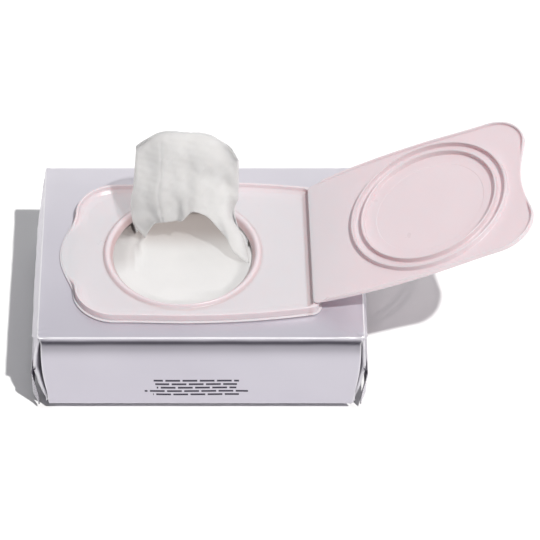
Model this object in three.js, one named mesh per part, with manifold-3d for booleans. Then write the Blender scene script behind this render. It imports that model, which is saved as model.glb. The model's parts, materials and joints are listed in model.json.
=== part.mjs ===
// Wet wipes pack: a flow-wrapped film pouch full of folded wipes, with a moulded flip-top
// dispenser stuck on its top panel, the lid open and one wipe pulled up through the opening.
//
// Millimetres, +Z up. +X runs from the finger tab to the hinge, +Y to the back of the pack.
// The origin is the middle of the underside, on the surface that the pack rests on.

import * as THREE from "three";
import Module from "manifold-3d";
import { mergeVertices } from "three/addons/utils/BufferGeometryUtils.js";

const wasm = await Module();
wasm.setup();

// ---- Driving dimensions ------------------------------------------------------------

const PACK = { width: 160, depth: 118, top: 52.2, film: 0.6, bottomCrease: 4.5 };
const FILM_HOLE_RADIUS = 36.6;

const STACK = { halfWidth: 75.2, halfDepth: 56.2, bottom: 1.4, top: 47.5 };

// The dispenser has its own frame: origin on the opening's axis at the underside of the
// moulding, turned a degree from square to the pack, as it was stuck on.
const DISPENSER = { x: -9.3, y: -1.6, z: PACK.top + 0.3, turn: THREE.MathUtils.degToRad(1) };

const HINGE = { x: 63.8, z: 4.8 };
const LID_OPEN_ANGLE = THREE.MathUtils.degToRad(156.7);

// The lid's outline, in the dispenser's frame, when it is shut.
const OUTLINE = {
  tip: HINGE.x - 115.6,
  midHalfWidth: 45.2,
  hingeHalfWidth: 40.5,
  lobeHalfWidth: 44,
  widest: HINGE.x - 60,
  lobeX: HINGE.x - 97,
  lobeY: 25.5,
  lobeRadius: 18.6,
};

const LID = {
  top: HINGE.z,
  under: HINGE.z - 0.9,
  ribHeight: 2.7,
  plugRadius: 35.5,
  skirtRadius: 40.8,
  ribWall: 0.9,
  lip: 1.6,
  lipWall: 0.9,
  notch: 4.2,
  dishRadius: 28,
  dishDepth: 0.15,
  bead: 0.45,
  beadHalfAngle: THREE.MathUtils.degToRad(27),
};

const BASE = {
  floor: 0.8,
  flange: 0.5,
  wallTop: 4.6,
  tab: 6.6,
  hingeEnd: 68,
  openingRadius: 34.6,
  openingDrop: -1.2,
  collarTop: 2.4,
};

const WIPE = { thickness: 1, left: -35.5, right: 18.5, gather: 5, curl: 13, slack: 3 };

// ---- Meshes from rings of points ----------------------------------------------------

// Joins successive rings, each anticlockwise seen from +Z, into one closed surface. The
// rings run up the outside and back down the inside. Without `start` and `end`, which
// close the two ends to a point, the last ring joins the first.
function ringSurface(rings, { start, end } = {}) {
  const count = rings[0].length;
  const positions = rings.flat().flatMap((p) => [p.x, p.y, p.z]);
  const indices = [];
  const spans = start ? rings.length - 1 : rings.length;
  for (let i = 0; i < spans; i++) {
    const below = i * count;
    const above = ((i + 1) % rings.length) * count;
    for (let j = 0; j < count; j++) {
      const k = (j + 1) % count;
      indices.push(below + j, below + k, above + k, below + j, above + k, above + j);
    }
  }
  if (start) {
    const first = positions.length / 3;
    positions.push(start.x, start.y, start.z, end.x, end.y, end.z);
    const lastRing = (rings.length - 1) * count;
    for (let j = 0; j < count; j++) {
      const k = (j + 1) % count;
      indices.push(first, k, j, first + 1, lastRing + j, lastRing + k);
    }
  }
  const geometry = new THREE.BufferGeometry();
  geometry.setAttribute("position", new THREE.Float32BufferAttribute(positions, 3));
  geometry.setIndex(indices);
  return geometry;
}

// Distance from the origin to a closed outline along each of the given directions.
function radiiAlong(outline, angles) {
  return angles.map((angle) => {
    const dx = Math.cos(angle);
    const dy = Math.sin(angle);
    let reach = 0;
    outline.forEach((a, i) => {
      const b = outline[(i + 1) % outline.length];
      const ex = b.x - a.x;
      const ey = b.y - a.y;
      const cross = dx * ey - dy * ex;
      if (Math.abs(cross) < 1e-9) return;
      const distance = (a.x * ey - a.y * ex) / cross;
      const along = (a.x * dy - a.y * dx) / cross;
      if (distance > 0 && along >= -1e-9 && along <= 1 + 1e-9) reach = Math.max(reach, distance);
    });
    return reach;
  });
}

// A ring on the given directions. Radius and height are numbers, or functions of the
// direction; the radius may also be a list with one entry for each direction.
function ringOf(angles, radius, height) {
  const value = (v, i) => {
    if (Array.isArray(v)) return v[i];
    return typeof v === "function" ? v(angles[i]) : v;
  };
  return angles.map((angle, i) => {
    const r = value(radius, i);
    const x = r * Math.cos(angle);
    const y = r * Math.sin(angle);
    const z = typeof height === "function" ? height(x, y) : height;
    return new THREE.Vector3(x, y, z);
  });
}

const smooth = (low, high, v) => THREE.MathUtils.smoothstep(v, low, high);

// ---- Outline shared by the lid and the base ----------------------------------------

// Half the width of the lid at a distance along the pack, where its long sides run.
function sideHalfWidth(x) {
  const { midHalfWidth, hingeHalfWidth, lobeHalfWidth, widest, lobeX } = OUTLINE;
  if (x > widest) {
    const t = (x - widest) / (HINGE.x - widest);
    return midHalfWidth - (midHalfWidth - hingeHalfWidth) * t ** 2.2;
  }
  const t = (widest - x) / (widest - lobeX);
  return midHalfWidth - (midHalfWidth - lobeHalfWidth) * Math.sin((t * Math.PI) / 2) ** 2;
}

// The lid's outline moved outwards by `offset`. `hingeEnd` is where it crosses the hinge
// end, and `bulge` how far the middle of the free end stands out (the base's finger tab)
// or in (the lid's notch).
function outline({ offset, hingeEnd, cornerRadius, bulge }) {
  const { tip, lobeX, lobeY, lobeRadius } = OUTLINE;
  const cornerX = hingeEnd - cornerRadius;
  const cornerY = sideHalfWidth(cornerX) + offset - cornerRadius;
  const half = [];
  for (let i = 0; i < 7; i++) half.push(new THREE.Vector2(hingeEnd, (cornerY * i) / 7));
  for (let i = 0; i < 6; i++) {
    const a = (i / 6) * (Math.PI / 2);
    const x = cornerX + cornerRadius * Math.cos(a);
    half.push(new THREE.Vector2(x, cornerY + cornerRadius * Math.sin(a)));
  }
  for (let i = 0; i < 14; i++) {
    const x = cornerX + ((lobeX - cornerX) * i) / 14;
    half.push(new THREE.Vector2(x, sideHalfWidth(x) + offset));
  }
  const reachX = lobeX - tip + offset;
  for (let i = 0; i < 12; i++) {
    const a = (i / 12) * (Math.PI / 2);
    const y = lobeY + (lobeRadius - 0.1 + offset) * Math.cos(a);
    half.push(new THREE.Vector2(lobeX - reachX * Math.sin(a), y));
  }
  for (let i = 0; i <= 12; i++) {
    const y = lobeY * (1 - i / 12);
    const swell = bulge * (1 - (y / lobeY) ** 2) ** 1.5;
    half.push(new THREE.Vector2(tip - offset - swell, y));
  }
  const mirrored = half.slice(1, -1).reverse();
  return [...half, ...mirrored.map((p) => new THREE.Vector2(p.x, -p.y))];
}

// Directions from the opening's centre that meet the outline's corners and curves.
function dispenserAngles() {
  const flange = outline({ offset: 2.9, hingeEnd: BASE.hingeEnd, cornerRadius: 6, bulge: BASE.tab });
  const upper = flange.filter((p, i) => p.y >= 0 && (i % 2 === 0 || p.x > HINGE.x));
  const angles = upper.map((p) => Math.atan2(p.y, p.x)).filter((a) => a < Math.PI - 0.02);
  return [...angles, Math.PI, ...angles.slice(1).reverse().map((a) => 2 * Math.PI - a)];
}

const DIRECTIONS = dispenserAngles();

function outlineRing(shape, height) {
  return ringOf(DIRECTIONS, radiiAlong(outline(shape), DIRECTIONS), height);
}

// ---- The moulded base ---------------------------------------------------------------

// 1 where the wall round the tray stands at full height, 0 across the finger tab.
function wallFade(x, y) {
  return x > 0 ? 1 : smooth(17, 28, Math.abs(y));
}

function lidBase() {
  const { floor, flange, wallTop, tab, hingeEnd, openingRadius, openingDrop, collarTop } = BASE;
  const faded = (z) => (x, y) => floor + (z - floor) * wallFade(x, y);
  const edge = (offset, end, cornerRadius) => ({
    offset,
    hingeEnd: end,
    cornerRadius,
    bulge: tab,
  });
  return ringSurface([
    outlineRing(edge(2.9, hingeEnd, 6), 0),
    outlineRing(edge(2.9, hingeEnd, 6), flange),
    outlineRing(edge(1.8, hingeEnd - 1.1, 5), flange + 0.1),
    outlineRing(edge(1.7, hingeEnd - 1.2, 5), faded(wallTop)),
    outlineRing(edge(0.6, HINGE.x + 0.2, 3.5), faded(wallTop)),
    outlineRing(edge(0.5, HINGE.x - 0.1, 3), faded(3.5)),
    outlineRing(edge(0.4, HINGE.x - 2.2, 3), faded(2.1)),
    outlineRing(edge(-1.5, HINGE.x - 3.2, 3), faded(1.35)),
    outlineRing(edge(-5, HINGE.x - 3.9, 3), floor),
    ringOf(DIRECTIONS, openingRadius + 4.4, floor),
    ringOf(DIRECTIONS, openingRadius + 3.4, collarTop - 0.2),
    ringOf(DIRECTIONS, openingRadius + 2.4, collarTop),
    ringOf(DIRECTIONS, openingRadius, openingDrop),
    ringOf(DIRECTIONS, openingRadius + 0.9, openingDrop),
    ringOf(DIRECTIONS, openingRadius + 1.6, 0),
  ]);
}

// ---- The lid, shut ------------------------------------------------------------------

// 1 where the lid's edge has its shallow lip, 0 at the notch and beside the hinge.
function lipFade(x, y) {
  const clearOfNotch = x > 0 ? 1 : smooth(16, 24, Math.abs(y));
  return clearOfNotch * (1 - smooth(HINGE.x - 9, HINGE.x - 4, x));
}

function flipLid() {
  const { top, under, ribHeight, plugRadius, skirtRadius, ribWall, lip, lipWall } = LID;
  const crest = under - ribHeight;
  const skirtInner = skirtRadius - ribWall;
  const beadRadius = (angle) => {
    const off = Math.abs(angle - Math.PI);
    return skirtInner - LID.bead * (1 - smooth(LID.beadHalfAngle, LID.beadHalfAngle * 1.12, off));
  };
  const edge = (offset, hingeEnd) => ({
    offset,
    hingeEnd,
    cornerRadius: 2.5,
    bulge: -LID.notch,
  });
  const lipBottom = (x, y) => under - lip * lipFade(x, y);
  const rings = [
    ringOf(DIRECTIONS, LID.dishRadius - 0.3, under + LID.dishDepth),
    ringOf(DIRECTIONS, LID.dishRadius, under),
    ringOf(DIRECTIONS, plugRadius - ribWall - 0.2, under),
    ringOf(DIRECTIONS, plugRadius - ribWall, crest),
    ringOf(DIRECTIONS, plugRadius, crest),
    ringOf(DIRECTIONS, plugRadius + 0.2, under),
    ringOf(DIRECTIONS, skirtInner - 0.1, under),
    ringOf(DIRECTIONS, skirtInner, crest + 1),
    ringOf(DIRECTIONS, beadRadius, crest + 0.5),
    ringOf(DIRECTIONS, skirtInner, crest),
    ringOf(DIRECTIONS, skirtRadius, crest),
    ringOf(DIRECTIONS, skirtRadius + 0.1, under),
    outlineRing(edge(-0.2 - lipWall, HINGE.x - 1.3), under),
    outlineRing(edge(-0.1 - lipWall, HINGE.x - 1.2), lipBottom),
    outlineRing(edge(-0.1, HINGE.x - 0.3), lipBottom),
    outlineRing(edge(0, HINGE.x - 0.2), top - 0.3),
    outlineRing(edge(-0.3, HINGE.x - 0.5), top),
  ];
  const start = new THREE.Vector3(0, 0, under + LID.dishDepth);
  const end = new THREE.Vector3(0, 0, top);
  return ringSurface(rings, { start, end }).translate(-HINGE.x, 0, -HINGE.z);
}

// ---- The film pouch -----------------------------------------------------------------

function roundedRectangle(halfX, halfY, radius) {
  const points = [];
  const corners = [[1, 1, 0], [-1, 1, 1], [-1, -1, 2], [1, -1, 3]];
  corners.forEach(([sx, sy, quarter]) => {
    for (let i = 0; i <= 4; i++) {
      const a = ((quarter + i / 4) * Math.PI) / 2;
      const x = sx * (halfX - radius) + radius * Math.cos(a);
      points.push(new THREE.Vector2(x, sy * (halfY - radius) + radius * Math.sin(a)));
    }
  });
  return points;
}

// Directions from the dispenser's axis: each corner of the pack, and even steps between.
function pouchAngles() {
  const corners = roundedRectangle(PACK.width / 2, PACK.depth / 2, 3);
  const turn = 2 * Math.PI;
  const at = (p) => (Math.atan2(p.y - DISPENSER.y, p.x - DISPENSER.x) + turn) % turn;
  const sorted = corners.map(at).sort((a, b) => a - b);
  const angles = [];
  sorted.forEach((a, i) => {
    const next = i + 1 < sorted.length ? sorted[i + 1] : sorted[0] + turn;
    const steps = Math.max(1, Math.round((next - a) / (turn / 44)));
    for (let k = 0; k < steps; k++) angles.push(a + ((next - a) * k) / steps);
  });
  return angles;
}

const POUCH_DIRECTIONS = pouchAngles();

function packRing(halfX, halfY, radius, z) {
  const shape = roundedRectangle(halfX, halfY, radius);
  const about = shape.map((p) => new THREE.Vector2(p.x - DISPENSER.x, p.y - DISPENSER.y));
  const ring = ringOf(POUCH_DIRECTIONS, radiiAlong(about, POUCH_DIRECTIONS), z);
  return ring.map((p) => p.add(new THREE.Vector3(DISPENSER.x, DISPENSER.y, 0)));
}

// Half width, half depth, corner radius and height of the pouch's outside, going up: a
// flat underside, the crease round its bottom, walls that lean out a little, soft top edges.
function pouchSections() {
  const { width, depth, top, bottomCrease } = PACK;
  const x = width / 2;
  const y = depth / 2;
  return [
    [x - 14, y - 9, 8, 0],
    [x - 7.5, y - 3.5, 6, 1.2],
    [x - 3.7, y - 0.8, 4, bottomCrease],
    [x - 2.4, y - 0.1, 3.5, 14],
    [x - 0.8, y + 0.2, 3, 30],
    [x, y, 3, top - 6],
    [x - 0.6, y - 0.6, 3, top - 1.6],
    [x - 2.8, y - 2.8, 4, top],
  ];
}

function filmPouch() {
  const { film, top } = PACK;
  const outside = pouchSections();
  const inside = outside.map(([halfX, halfY, radius, z], i) => {
    const inner = i === outside.length - 1 ? z - film : Math.max(z, film);
    return [halfX - film, halfY - film, radius, inner];
  });
  const hole = (z) => {
    const ring = ringOf(POUCH_DIRECTIONS, FILM_HOLE_RADIUS, z);
    return ring.map((p) => p.add(new THREE.Vector3(DISPENSER.x, DISPENSER.y, 0)));
  };
  const rings = [
    ...outside.map((section) => packRing(...section)),
    hole(top),
    hole(top - film),
    ...inside.reverse().map((section) => packRing(...section)),
  ];
  const start = new THREE.Vector3(DISPENSER.x, DISPENSER.y, 0);
  const end = new THREE.Vector3(DISPENSER.x, DISPENSER.y, film);
  return ringSurface(rings, { start, end });
}

// The crimped seal across one end: it stands off the end panel at mid height, folds over
// and hangs down beside it. `side` is 1 at the hinge end and -1 at the tab end.
function endFin(side) {
  const length = PACK.depth - 5;
  const wall = PACK.width / 2 - 1.6;
  const profile = [
    [wall, 27.4],
    [wall + 1.9, 27.2],
    [wall + 2.6, 25.8],
    [wall + 1.9, 9],
    [wall + 1.1, 9],
    [wall + 1.7, 25.4],
    [wall, 25.8],
  ];
  const shape = new THREE.Shape(profile.map(([x, z]) => new THREE.Vector2(x, z)));
  const fin = new THREE.ExtrudeGeometry(shape, { depth: length, bevelEnabled: false });
  fin.rotateX(Math.PI / 2);
  fin.translate(0, length / 2, 0);
  if (side < 0) fin.rotateZ(Math.PI);
  return fin;
}

// ---- Solids -------------------------------------------------------------------------

function toSolid(geometry) {
  const bare = geometry.clone();
  bare.deleteAttribute("normal");
  bare.deleteAttribute("uv");
  const merged = mergeVertices(bare, 1e-4);
  return new wasm.Manifold(
    new wasm.Mesh({
      numProp: 3,
      vertProperties: Float32Array.from(merged.attributes.position.array),
      triVerts: Uint32Array.from(merged.index.array),
    }),
  );
}

function fromSolid(solid) {
  const mesh = solid.getMesh();
  const geometry = new THREE.BufferGeometry();
  geometry.setAttribute("position", new THREE.BufferAttribute(mesh.vertProperties, 3));
  geometry.setIndex(new THREE.BufferAttribute(mesh.triVerts, 1));
  return geometry;
}

function filmWithFins() {
  return fromSolid(toSolid(filmPouch()).add(toSolid(endFin(1))).add(toSolid(endFin(-1))));
}

// ---- The wipes ----------------------------------------------------------------------

function wipesStack() {
  const { halfWidth, halfDepth, bottom, top } = STACK;
  const rings = [
    packRing(halfWidth - 8, halfDepth - 5, 5, bottom),
    packRing(halfWidth - 1.4, halfDepth - 0.8, 4, bottom + 3.4),
    packRing(halfWidth, halfDepth, 3, top - 3),
    packRing(halfWidth - 1, halfDepth - 1, 3, top),
  ];
  const start = new THREE.Vector3(DISPENSER.x, DISPENSER.y, bottom);
  const end = new THREE.Vector3(DISPENSER.x, DISPENSER.y, top);
  return ringSurface(rings, { start, end });
}

// Side view of the pulled wipe, depth against height: up out of the back of the opening,
// over, and down the front to its free edge.
const WIPE_PATH = new THREE.CatmullRomCurve3(
  [
    [25, STACK.top + 0.4],
    [28.5, 55],
    [31, 78],
    [31, 99],
    [27.5, 110.5],
    [22.5, 107],
    [18, 95],
    [13, 80],
    [8, 67],
  ].map(([y, z]) => new THREE.Vector3(0, y, z)),
);

// The sheet follows the path. Where it passes the opening it is gathered narrower and its
// two sides curve forward round the opening's edge; above, it opens out almost flat.
function pulledWipe() {
  const along = 26;
  const across = 8;
  const { thickness, left, right, gather, curl, slack } = WIPE;
  const faces = [1, -1].map((face) => {
    const rows = [];
    for (let i = 0; i <= along; i++) {
      const t = i / along;
      const centre = WIPE_PATH.getPointAt(t);
      const tangent = WIPE_PATH.getTangentAt(t);
      const shift = (face * thickness) / 2;
      const gathered = 1 - smooth(0.12, 0.42, t);
      const narrow = gather * gathered;
      for (let j = 0; j <= across; j++) {
        const v = j / across;
        const x = left + narrow + (right - left - 2 * narrow) * v;
        const forward = (slack + curl * gathered) * (2 * v - 1) ** 2;
        rows.push(x, centre.y - forward + shift * tangent.z, centre.z - shift * tangent.y);
      }
    }
    return rows;
  });
  const count = (along + 1) * (across + 1);
  const at = (face, i, j) => face * count + i * (across + 1) + j;
  const indices = [];
  const quad = (a, b, c, d) => indices.push(a, b, c, a, c, d);
  for (let i = 0; i < along; i++) {
    for (let j = 0; j < across; j++) {
      quad(at(0, i, j), at(0, i + 1, j), at(0, i + 1, j + 1), at(0, i, j + 1));
      quad(at(1, i, j), at(1, i, j + 1), at(1, i + 1, j + 1), at(1, i + 1, j));
    }
    quad(at(0, i, 0), at(1, i, 0), at(1, i + 1, 0), at(0, i + 1, 0));
    quad(at(0, i, across), at(0, i + 1, across), at(1, i + 1, across), at(1, i, across));
  }
  for (let j = 0; j < across; j++) {
    quad(at(0, 0, j), at(0, 0, j + 1), at(1, 0, j + 1), at(1, 0, j));
    quad(at(0, along, j), at(1, along, j), at(1, along, j + 1), at(0, along, j + 1));
  }
  const geometry = new THREE.BufferGeometry();
  geometry.setAttribute("position", new THREE.Float32BufferAttribute(faces.flat(), 3));
  geometry.setIndex(indices);
  return geometry;
}

// ---- Assembly -----------------------------------------------------------------------

function material(color, roughness, metalness = 0) {
  return new THREE.MeshStandardMaterial({ color, roughness, metalness });
}

function piece(name, geometry, look) {
  const mesh = new THREE.Mesh(geometry, look);
  mesh.name = name;
  return mesh;
}

const PINK_PLASTIC = () => material("#e6dade", 0.3);

const pack = new THREE.Group();
pack.add(piece("film_pouch", filmWithFins(), material("#cdc9d4", 0.38, 0.35)));
pack.add(piece("wipes_stack", wipesStack(), material("#f1f1f1", 0.9)));
pack.add(piece("pulled_wipe", pulledWipe(), material("#eeeeee", 0.9)));

const dispenser = new THREE.Group();
dispenser.position.set(DISPENSER.x, DISPENSER.y, DISPENSER.z);
dispenser.rotation.z = DISPENSER.turn;
dispenser.add(piece("lid_base", lidBase(), PINK_PLASTIC()));

const hinge = new THREE.Group();
hinge.position.set(HINGE.x, 0, HINGE.z);
hinge.rotation.y = LID_OPEN_ANGLE;
hinge.add(piece("flip_lid", flipLid(), PINK_PLASTIC()));
dispenser.add(hinge);
pack.add(dispenser);

export default pack;
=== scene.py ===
import json
import math

import bpy
import numpy as np
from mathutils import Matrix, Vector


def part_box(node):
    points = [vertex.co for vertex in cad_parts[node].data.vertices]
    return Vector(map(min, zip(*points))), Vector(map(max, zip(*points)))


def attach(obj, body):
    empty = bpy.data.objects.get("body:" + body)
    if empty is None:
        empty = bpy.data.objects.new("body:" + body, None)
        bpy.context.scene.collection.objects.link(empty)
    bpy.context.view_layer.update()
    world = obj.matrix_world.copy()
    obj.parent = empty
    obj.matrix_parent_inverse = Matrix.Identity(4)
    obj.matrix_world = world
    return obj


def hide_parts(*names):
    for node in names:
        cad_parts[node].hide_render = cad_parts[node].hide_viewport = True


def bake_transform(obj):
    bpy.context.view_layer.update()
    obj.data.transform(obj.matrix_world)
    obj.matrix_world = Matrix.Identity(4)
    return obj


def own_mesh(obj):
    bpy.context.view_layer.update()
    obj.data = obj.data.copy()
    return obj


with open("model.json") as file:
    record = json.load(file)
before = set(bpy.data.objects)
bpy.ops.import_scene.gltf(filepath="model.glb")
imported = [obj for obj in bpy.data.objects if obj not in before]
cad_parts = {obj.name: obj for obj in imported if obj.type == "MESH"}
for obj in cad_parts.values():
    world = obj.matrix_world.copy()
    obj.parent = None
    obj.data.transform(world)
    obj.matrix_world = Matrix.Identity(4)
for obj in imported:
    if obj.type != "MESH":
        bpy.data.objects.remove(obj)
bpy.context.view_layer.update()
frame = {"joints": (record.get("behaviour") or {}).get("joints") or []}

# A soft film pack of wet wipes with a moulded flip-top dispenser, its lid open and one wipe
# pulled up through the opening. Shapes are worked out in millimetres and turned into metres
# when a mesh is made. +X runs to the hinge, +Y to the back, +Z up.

MM = 0.001

# ---- Driving dimensions ------------------------------------------------------------

STACK_BOX = [np.array(corner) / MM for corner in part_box("wipes_stack")]

# Half the pack's length along X and half its depth along Y, and the height of its top.
HALF_WIDTH, HALF_DEPTH = 80.0, 59.0
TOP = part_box("film_pouch")[1][2] / MM

LID_JOINT = frame["joints"][0]
HINGE_PLACE = np.array(LID_JOINT["pos_m"]) / MM
HINGE_AXIS = np.array(LID_JOINT["axis"])
OPEN_ANGLE = math.radians(LID_JOINT["range_deg"][1])

# The hinge in the dispenser's own frame, whose origin is on the opening's axis at the
# underside of the moulding.
HINGE_X, HINGE_Z = 63.8, 4.8
TURN = math.atan2(HINGE_AXIS[0], -HINGE_AXIS[1])
TURN_MATRIX = np.array([
    [math.cos(TURN), -math.sin(TURN), 0],
    [math.sin(TURN), math.cos(TURN), 0],
    [0, 0, 1],
])
DISPENSER = HINGE_PLACE - TURN_MATRIX @ np.array([HINGE_X, 0, HINGE_Z])

# The lid's outline when it is shut, in the dispenser's frame: its free end, its widest
# place, the round lobes at its free corners, and its half widths. The base's free end has a
# finger tab, which stands out by TAB, and the lid's has a notch.
TIP_X = HINGE_X - 115.6
WIDEST_X = HINGE_X - 60
LOBE_X, LOBE_Y, LOBE_RADIUS = HINGE_X - 97, 25.5, 18.6
MID_HALF, HINGE_HALF, LOBE_HALF = 45.2, 40.5, 44.0
TAB, NOTCH = 6.6, -4.2

# Radius of the hole in the film, under the dispenser's base.
FILM_HOLE = 36.6


def smooth(low, high, v):
    """0 below low, 1 above high, easing between; low may be above high."""
    t = np.clip((v - low) / (high - low), 0, 1)
    return t * t * (3 - 2 * t)


def curve(knots, x):
    """A smooth line through knots of (x, y), with level ends."""
    kx = np.array([k[0] for k in knots], float)
    ky = np.array([k[1] for k in knots], float)
    slope = np.gradient(ky, kx)
    i = np.clip(np.searchsorted(kx, x) - 1, 0, len(kx) - 2)
    span = kx[i + 1] - kx[i]
    t = np.clip((x - kx[i]) / span, 0, 1)
    a = (1 + 2 * t) * (1 - t) ** 2 * ky[i] + t * t * (3 - 2 * t) * ky[i + 1]
    b = t * (1 - t) ** 2 * slope[i] - t * t * (1 - t) * slope[i + 1]
    return a + b * span


def waves(points, length, seed, count=9):
    """Smooth irregular waves of about the given length over points, between about -1 and 1."""
    rng = np.random.default_rng(seed)
    total = np.zeros(points.shape[:-1])
    for _ in range(count):
        direction = rng.normal(size=points.shape[-1])
        direction /= np.linalg.norm(direction)
        turns = 2 * math.pi / (length * rng.uniform(0.6, 1.6))
        total += np.sin(points @ direction * turns + rng.uniform(0, 2 * math.pi))
    return total / math.sqrt(count * 2)


# ---- Meshes --------------------------------------------------------------------------

def add_mesh(name, points, faces, material):
    """A smooth shaded object from points in millimetres."""
    mesh = bpy.data.meshes.new(name)
    mesh.from_pydata((np.asarray(points) * MM).tolist(), [], faces)
    mesh.shade_smooth()
    mesh.materials.append(material)
    piece = bpy.data.objects.new(name, mesh)
    bpy.context.scene.collection.objects.link(piece)
    return piece


def set_attribute(piece, name, values):
    """A value from 0 to 1 at each point of a piece's mesh, for its material to read."""
    layer = piece.data.attributes.new(name, "FLOAT", "POINT")
    layer.data.foreach_set("value", np.clip(values, 0, 1))


def apply_modifiers(piece):
    depsgraph = bpy.context.evaluated_depsgraph_get()
    made = bpy.data.meshes.new_from_object(piece.evaluated_get(depsgraph))
    piece.modifiers.clear()
    piece.data = made


def ring_faces(ring_count, size, closed):
    """Quads between successive rings; closed joins the last ring to the first."""
    faces = []
    for i in range(ring_count if closed else ring_count - 1):
        low, high = i * size, ((i + 1) % ring_count) * size
        for j in range(size):
            k = (j + 1) % size
            faces.append((low + j, low + k, high + k, high + j))
    return faces


def ring_surface(rings, ends=None):
    """Points and faces of a surface through rings, either closed on itself or capped."""
    size = len(rings[0])
    points = np.concatenate(rings)
    faces = ring_faces(len(rings), size, ends is None)
    if ends is not None:
        first, last = len(points), len(points) + 1
        points = np.concatenate([points, np.array(ends)])
        base = (len(rings) - 1) * size
        for j in range(size):
            k = (j + 1) % size
            faces.append((first, k, j))
            faces.append((last, base + j, base + k))
    return points, faces


def capped_bar(rings):
    """Points and faces of a bar through rings, with a flat face at each end."""
    size = len(rings[0])
    last = (len(rings) - 1) * size
    faces = ring_faces(len(rings), size, False)
    faces += [tuple(range(size))[::-1], tuple(last + j for j in range(size))]
    return np.concatenate(rings), faces


def rounded(corners, steps=5):
    """A profile through corners, each a row of values whose last one is the rounding there.
    Roundings are measured along the segments that meet at the corner."""
    rows = [np.array(c, float) for c in corners]
    out = [rows[0][:-1]]
    for before, here, after in zip(rows, rows[1:], rows[2:]):
        a, p, b = before[:-1], here[:-1], after[:-1]
        size = here[-1]
        if size <= 0:
            out.append(p)
            continue
        start = p + (a - p) * min(0.48, size / max(np.linalg.norm(a - p), 1e-6))
        end = p + (b - p) * min(0.48, size / max(np.linalg.norm(b - p), 1e-6))
        for i in range(steps + 1):
            t = i / steps
            out.append((1 - t) ** 2 * start + 2 * t * (1 - t) * p + t * t * end)
    out.append(rows[-1][:-1])
    return out


# ---- Materials -----------------------------------------------------------------------

def principled(name, **values):
    """A Principled material and its node tools: (material, shader, add node, link)."""
    material = bpy.data.materials.new(name)
    material.use_nodes = True
    tree = material.node_tree
    shader = tree.nodes["Principled BSDF"]
    for key, value in values.items():
        shader.inputs[key.replace("_", " ")].default_value = value

    def node(kind, **inputs):
        made = tree.nodes.new(kind)
        for key, value in inputs.items():
            made.inputs[key.replace("_", " ")].default_value = value
        return made

    return material, shader, node, tree.links.new


def ramp(node, link, factor, stops):
    """A colour ramp from a 0 to 1 factor. Stops are (position, colour)."""
    made = node("ShaderNodeValToRGB")
    elements = made.color_ramp.elements
    for i, (position, colour) in enumerate(stops):
        element = elements[i] if i < 2 else elements.new(position)
        element.position = position
        element.color = (*colour, 1)
    link(factor, made.inputs["Fac"])
    return made.outputs["Color"]


def object_noise(node, link, scale, detail=3.0, stretch=(1, 1, 1)):
    """Noise in the object's own space, with features about 1/scale metres across."""
    coordinates = node("ShaderNodeTexCoord")
    mapping = node("ShaderNodeMapping", Scale=stretch)
    noise = node("ShaderNodeTexNoise", Scale=scale, Detail=detail)
    link(coordinates.outputs["Object"], mapping.inputs["Vector"])
    link(mapping.outputs["Vector"], noise.inputs["Vector"])
    return noise.outputs["Fac"]


def bump(node, link, shader, heights):
    """Stacks bump layers, each (height socket, distance in metres, strength)."""
    previous = None
    for height, distance, strength in heights:
        layer = node("ShaderNodeBump", Distance=distance, Strength=strength)
        link(height, layer.inputs["Height"])
        if previous is not None:
            link(previous, layer.inputs["Normal"])
        previous = layer.outputs["Normal"]
    link(previous, shader.inputs["Normal"])


def uneven_roughness(node, link, shader, scale, low, high):
    """Roughness that drifts between low and high."""
    spread = node("ShaderNodeMapRange", To_Min=low, To_Max=high)
    link(object_noise(node, link, scale, 4), spread.inputs["Value"])
    link(spread.outputs["Result"], shader.inputs["Roughness"])


def mesh_value(node, name):
    """A value that the mesh carries at each point, or 0 where it carries none."""
    made = node("ShaderNodeAttribute")
    made.attribute_name = name
    return made.outputs["Fac"]


def object_axes(node, link):
    """The object's own x, y and z, in metres."""
    coordinates = node("ShaderNodeTexCoord")
    split = node("ShaderNodeSeparateXYZ")
    link(coordinates.outputs["Object"], split.inputs["Vector"])
    return [split.outputs[axis] for axis in "XYZ"]


def math_node(node, link, operation, a, b=0):
    """A sum on a and b, which are each a socket or a number."""
    made = node("ShaderNodeMath")
    made.operation = operation
    for socket, value in zip(made.inputs, (a, b)):
        if isinstance(value, (int, float)):
            socket.default_value = value
        else:
            link(value, socket)
    return made.outputs["Value"]


def let_light_through(material, node, link, share):
    """Each surface of the material lets this share of a lamp's light pass, so that thin
    pieces cast lighter shadows."""
    passing = node("ShaderNodeBsdfTransparent", Color=(*share, 1))
    rays = node("ShaderNodeLightPath")
    both = node("ShaderNodeMixShader")
    link(rays.outputs["Is Shadow Ray"], both.inputs[0])
    link(material.node_tree.nodes["Principled BSDF"].outputs["BSDF"], both.inputs[1])
    link(passing.outputs["BSDF"], both.inputs[2])
    link(both.outputs["Shader"], material.node_tree.nodes["Material Output"].inputs["Surface"])


# Five short printed bars, one above the other, low on the front panel, lowest first: centre
# and half length of each. Each is broken by small gaps, in other places on each bar. The
# print is only on surfaces in front of PRINT_BACK. All in metres.
BARS = [
    (-0.0026, 0.0213),
    (-0.0024, 0.0256),
    (-0.0023, 0.0197),
    (-0.0025, 0.0202),
    (-0.0024, 0.0211),
]
BAR_LOW, BAR_STEP, BAR_HEIGHT = 0.0111, 0.0023, 0.0012
GAP_START, GAP_SHIFT, GAP_EVERY, GAP_SHARE = 0.1, 0.0031, 0.0085, 0.14
PRINT_BACK = -0.05


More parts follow.
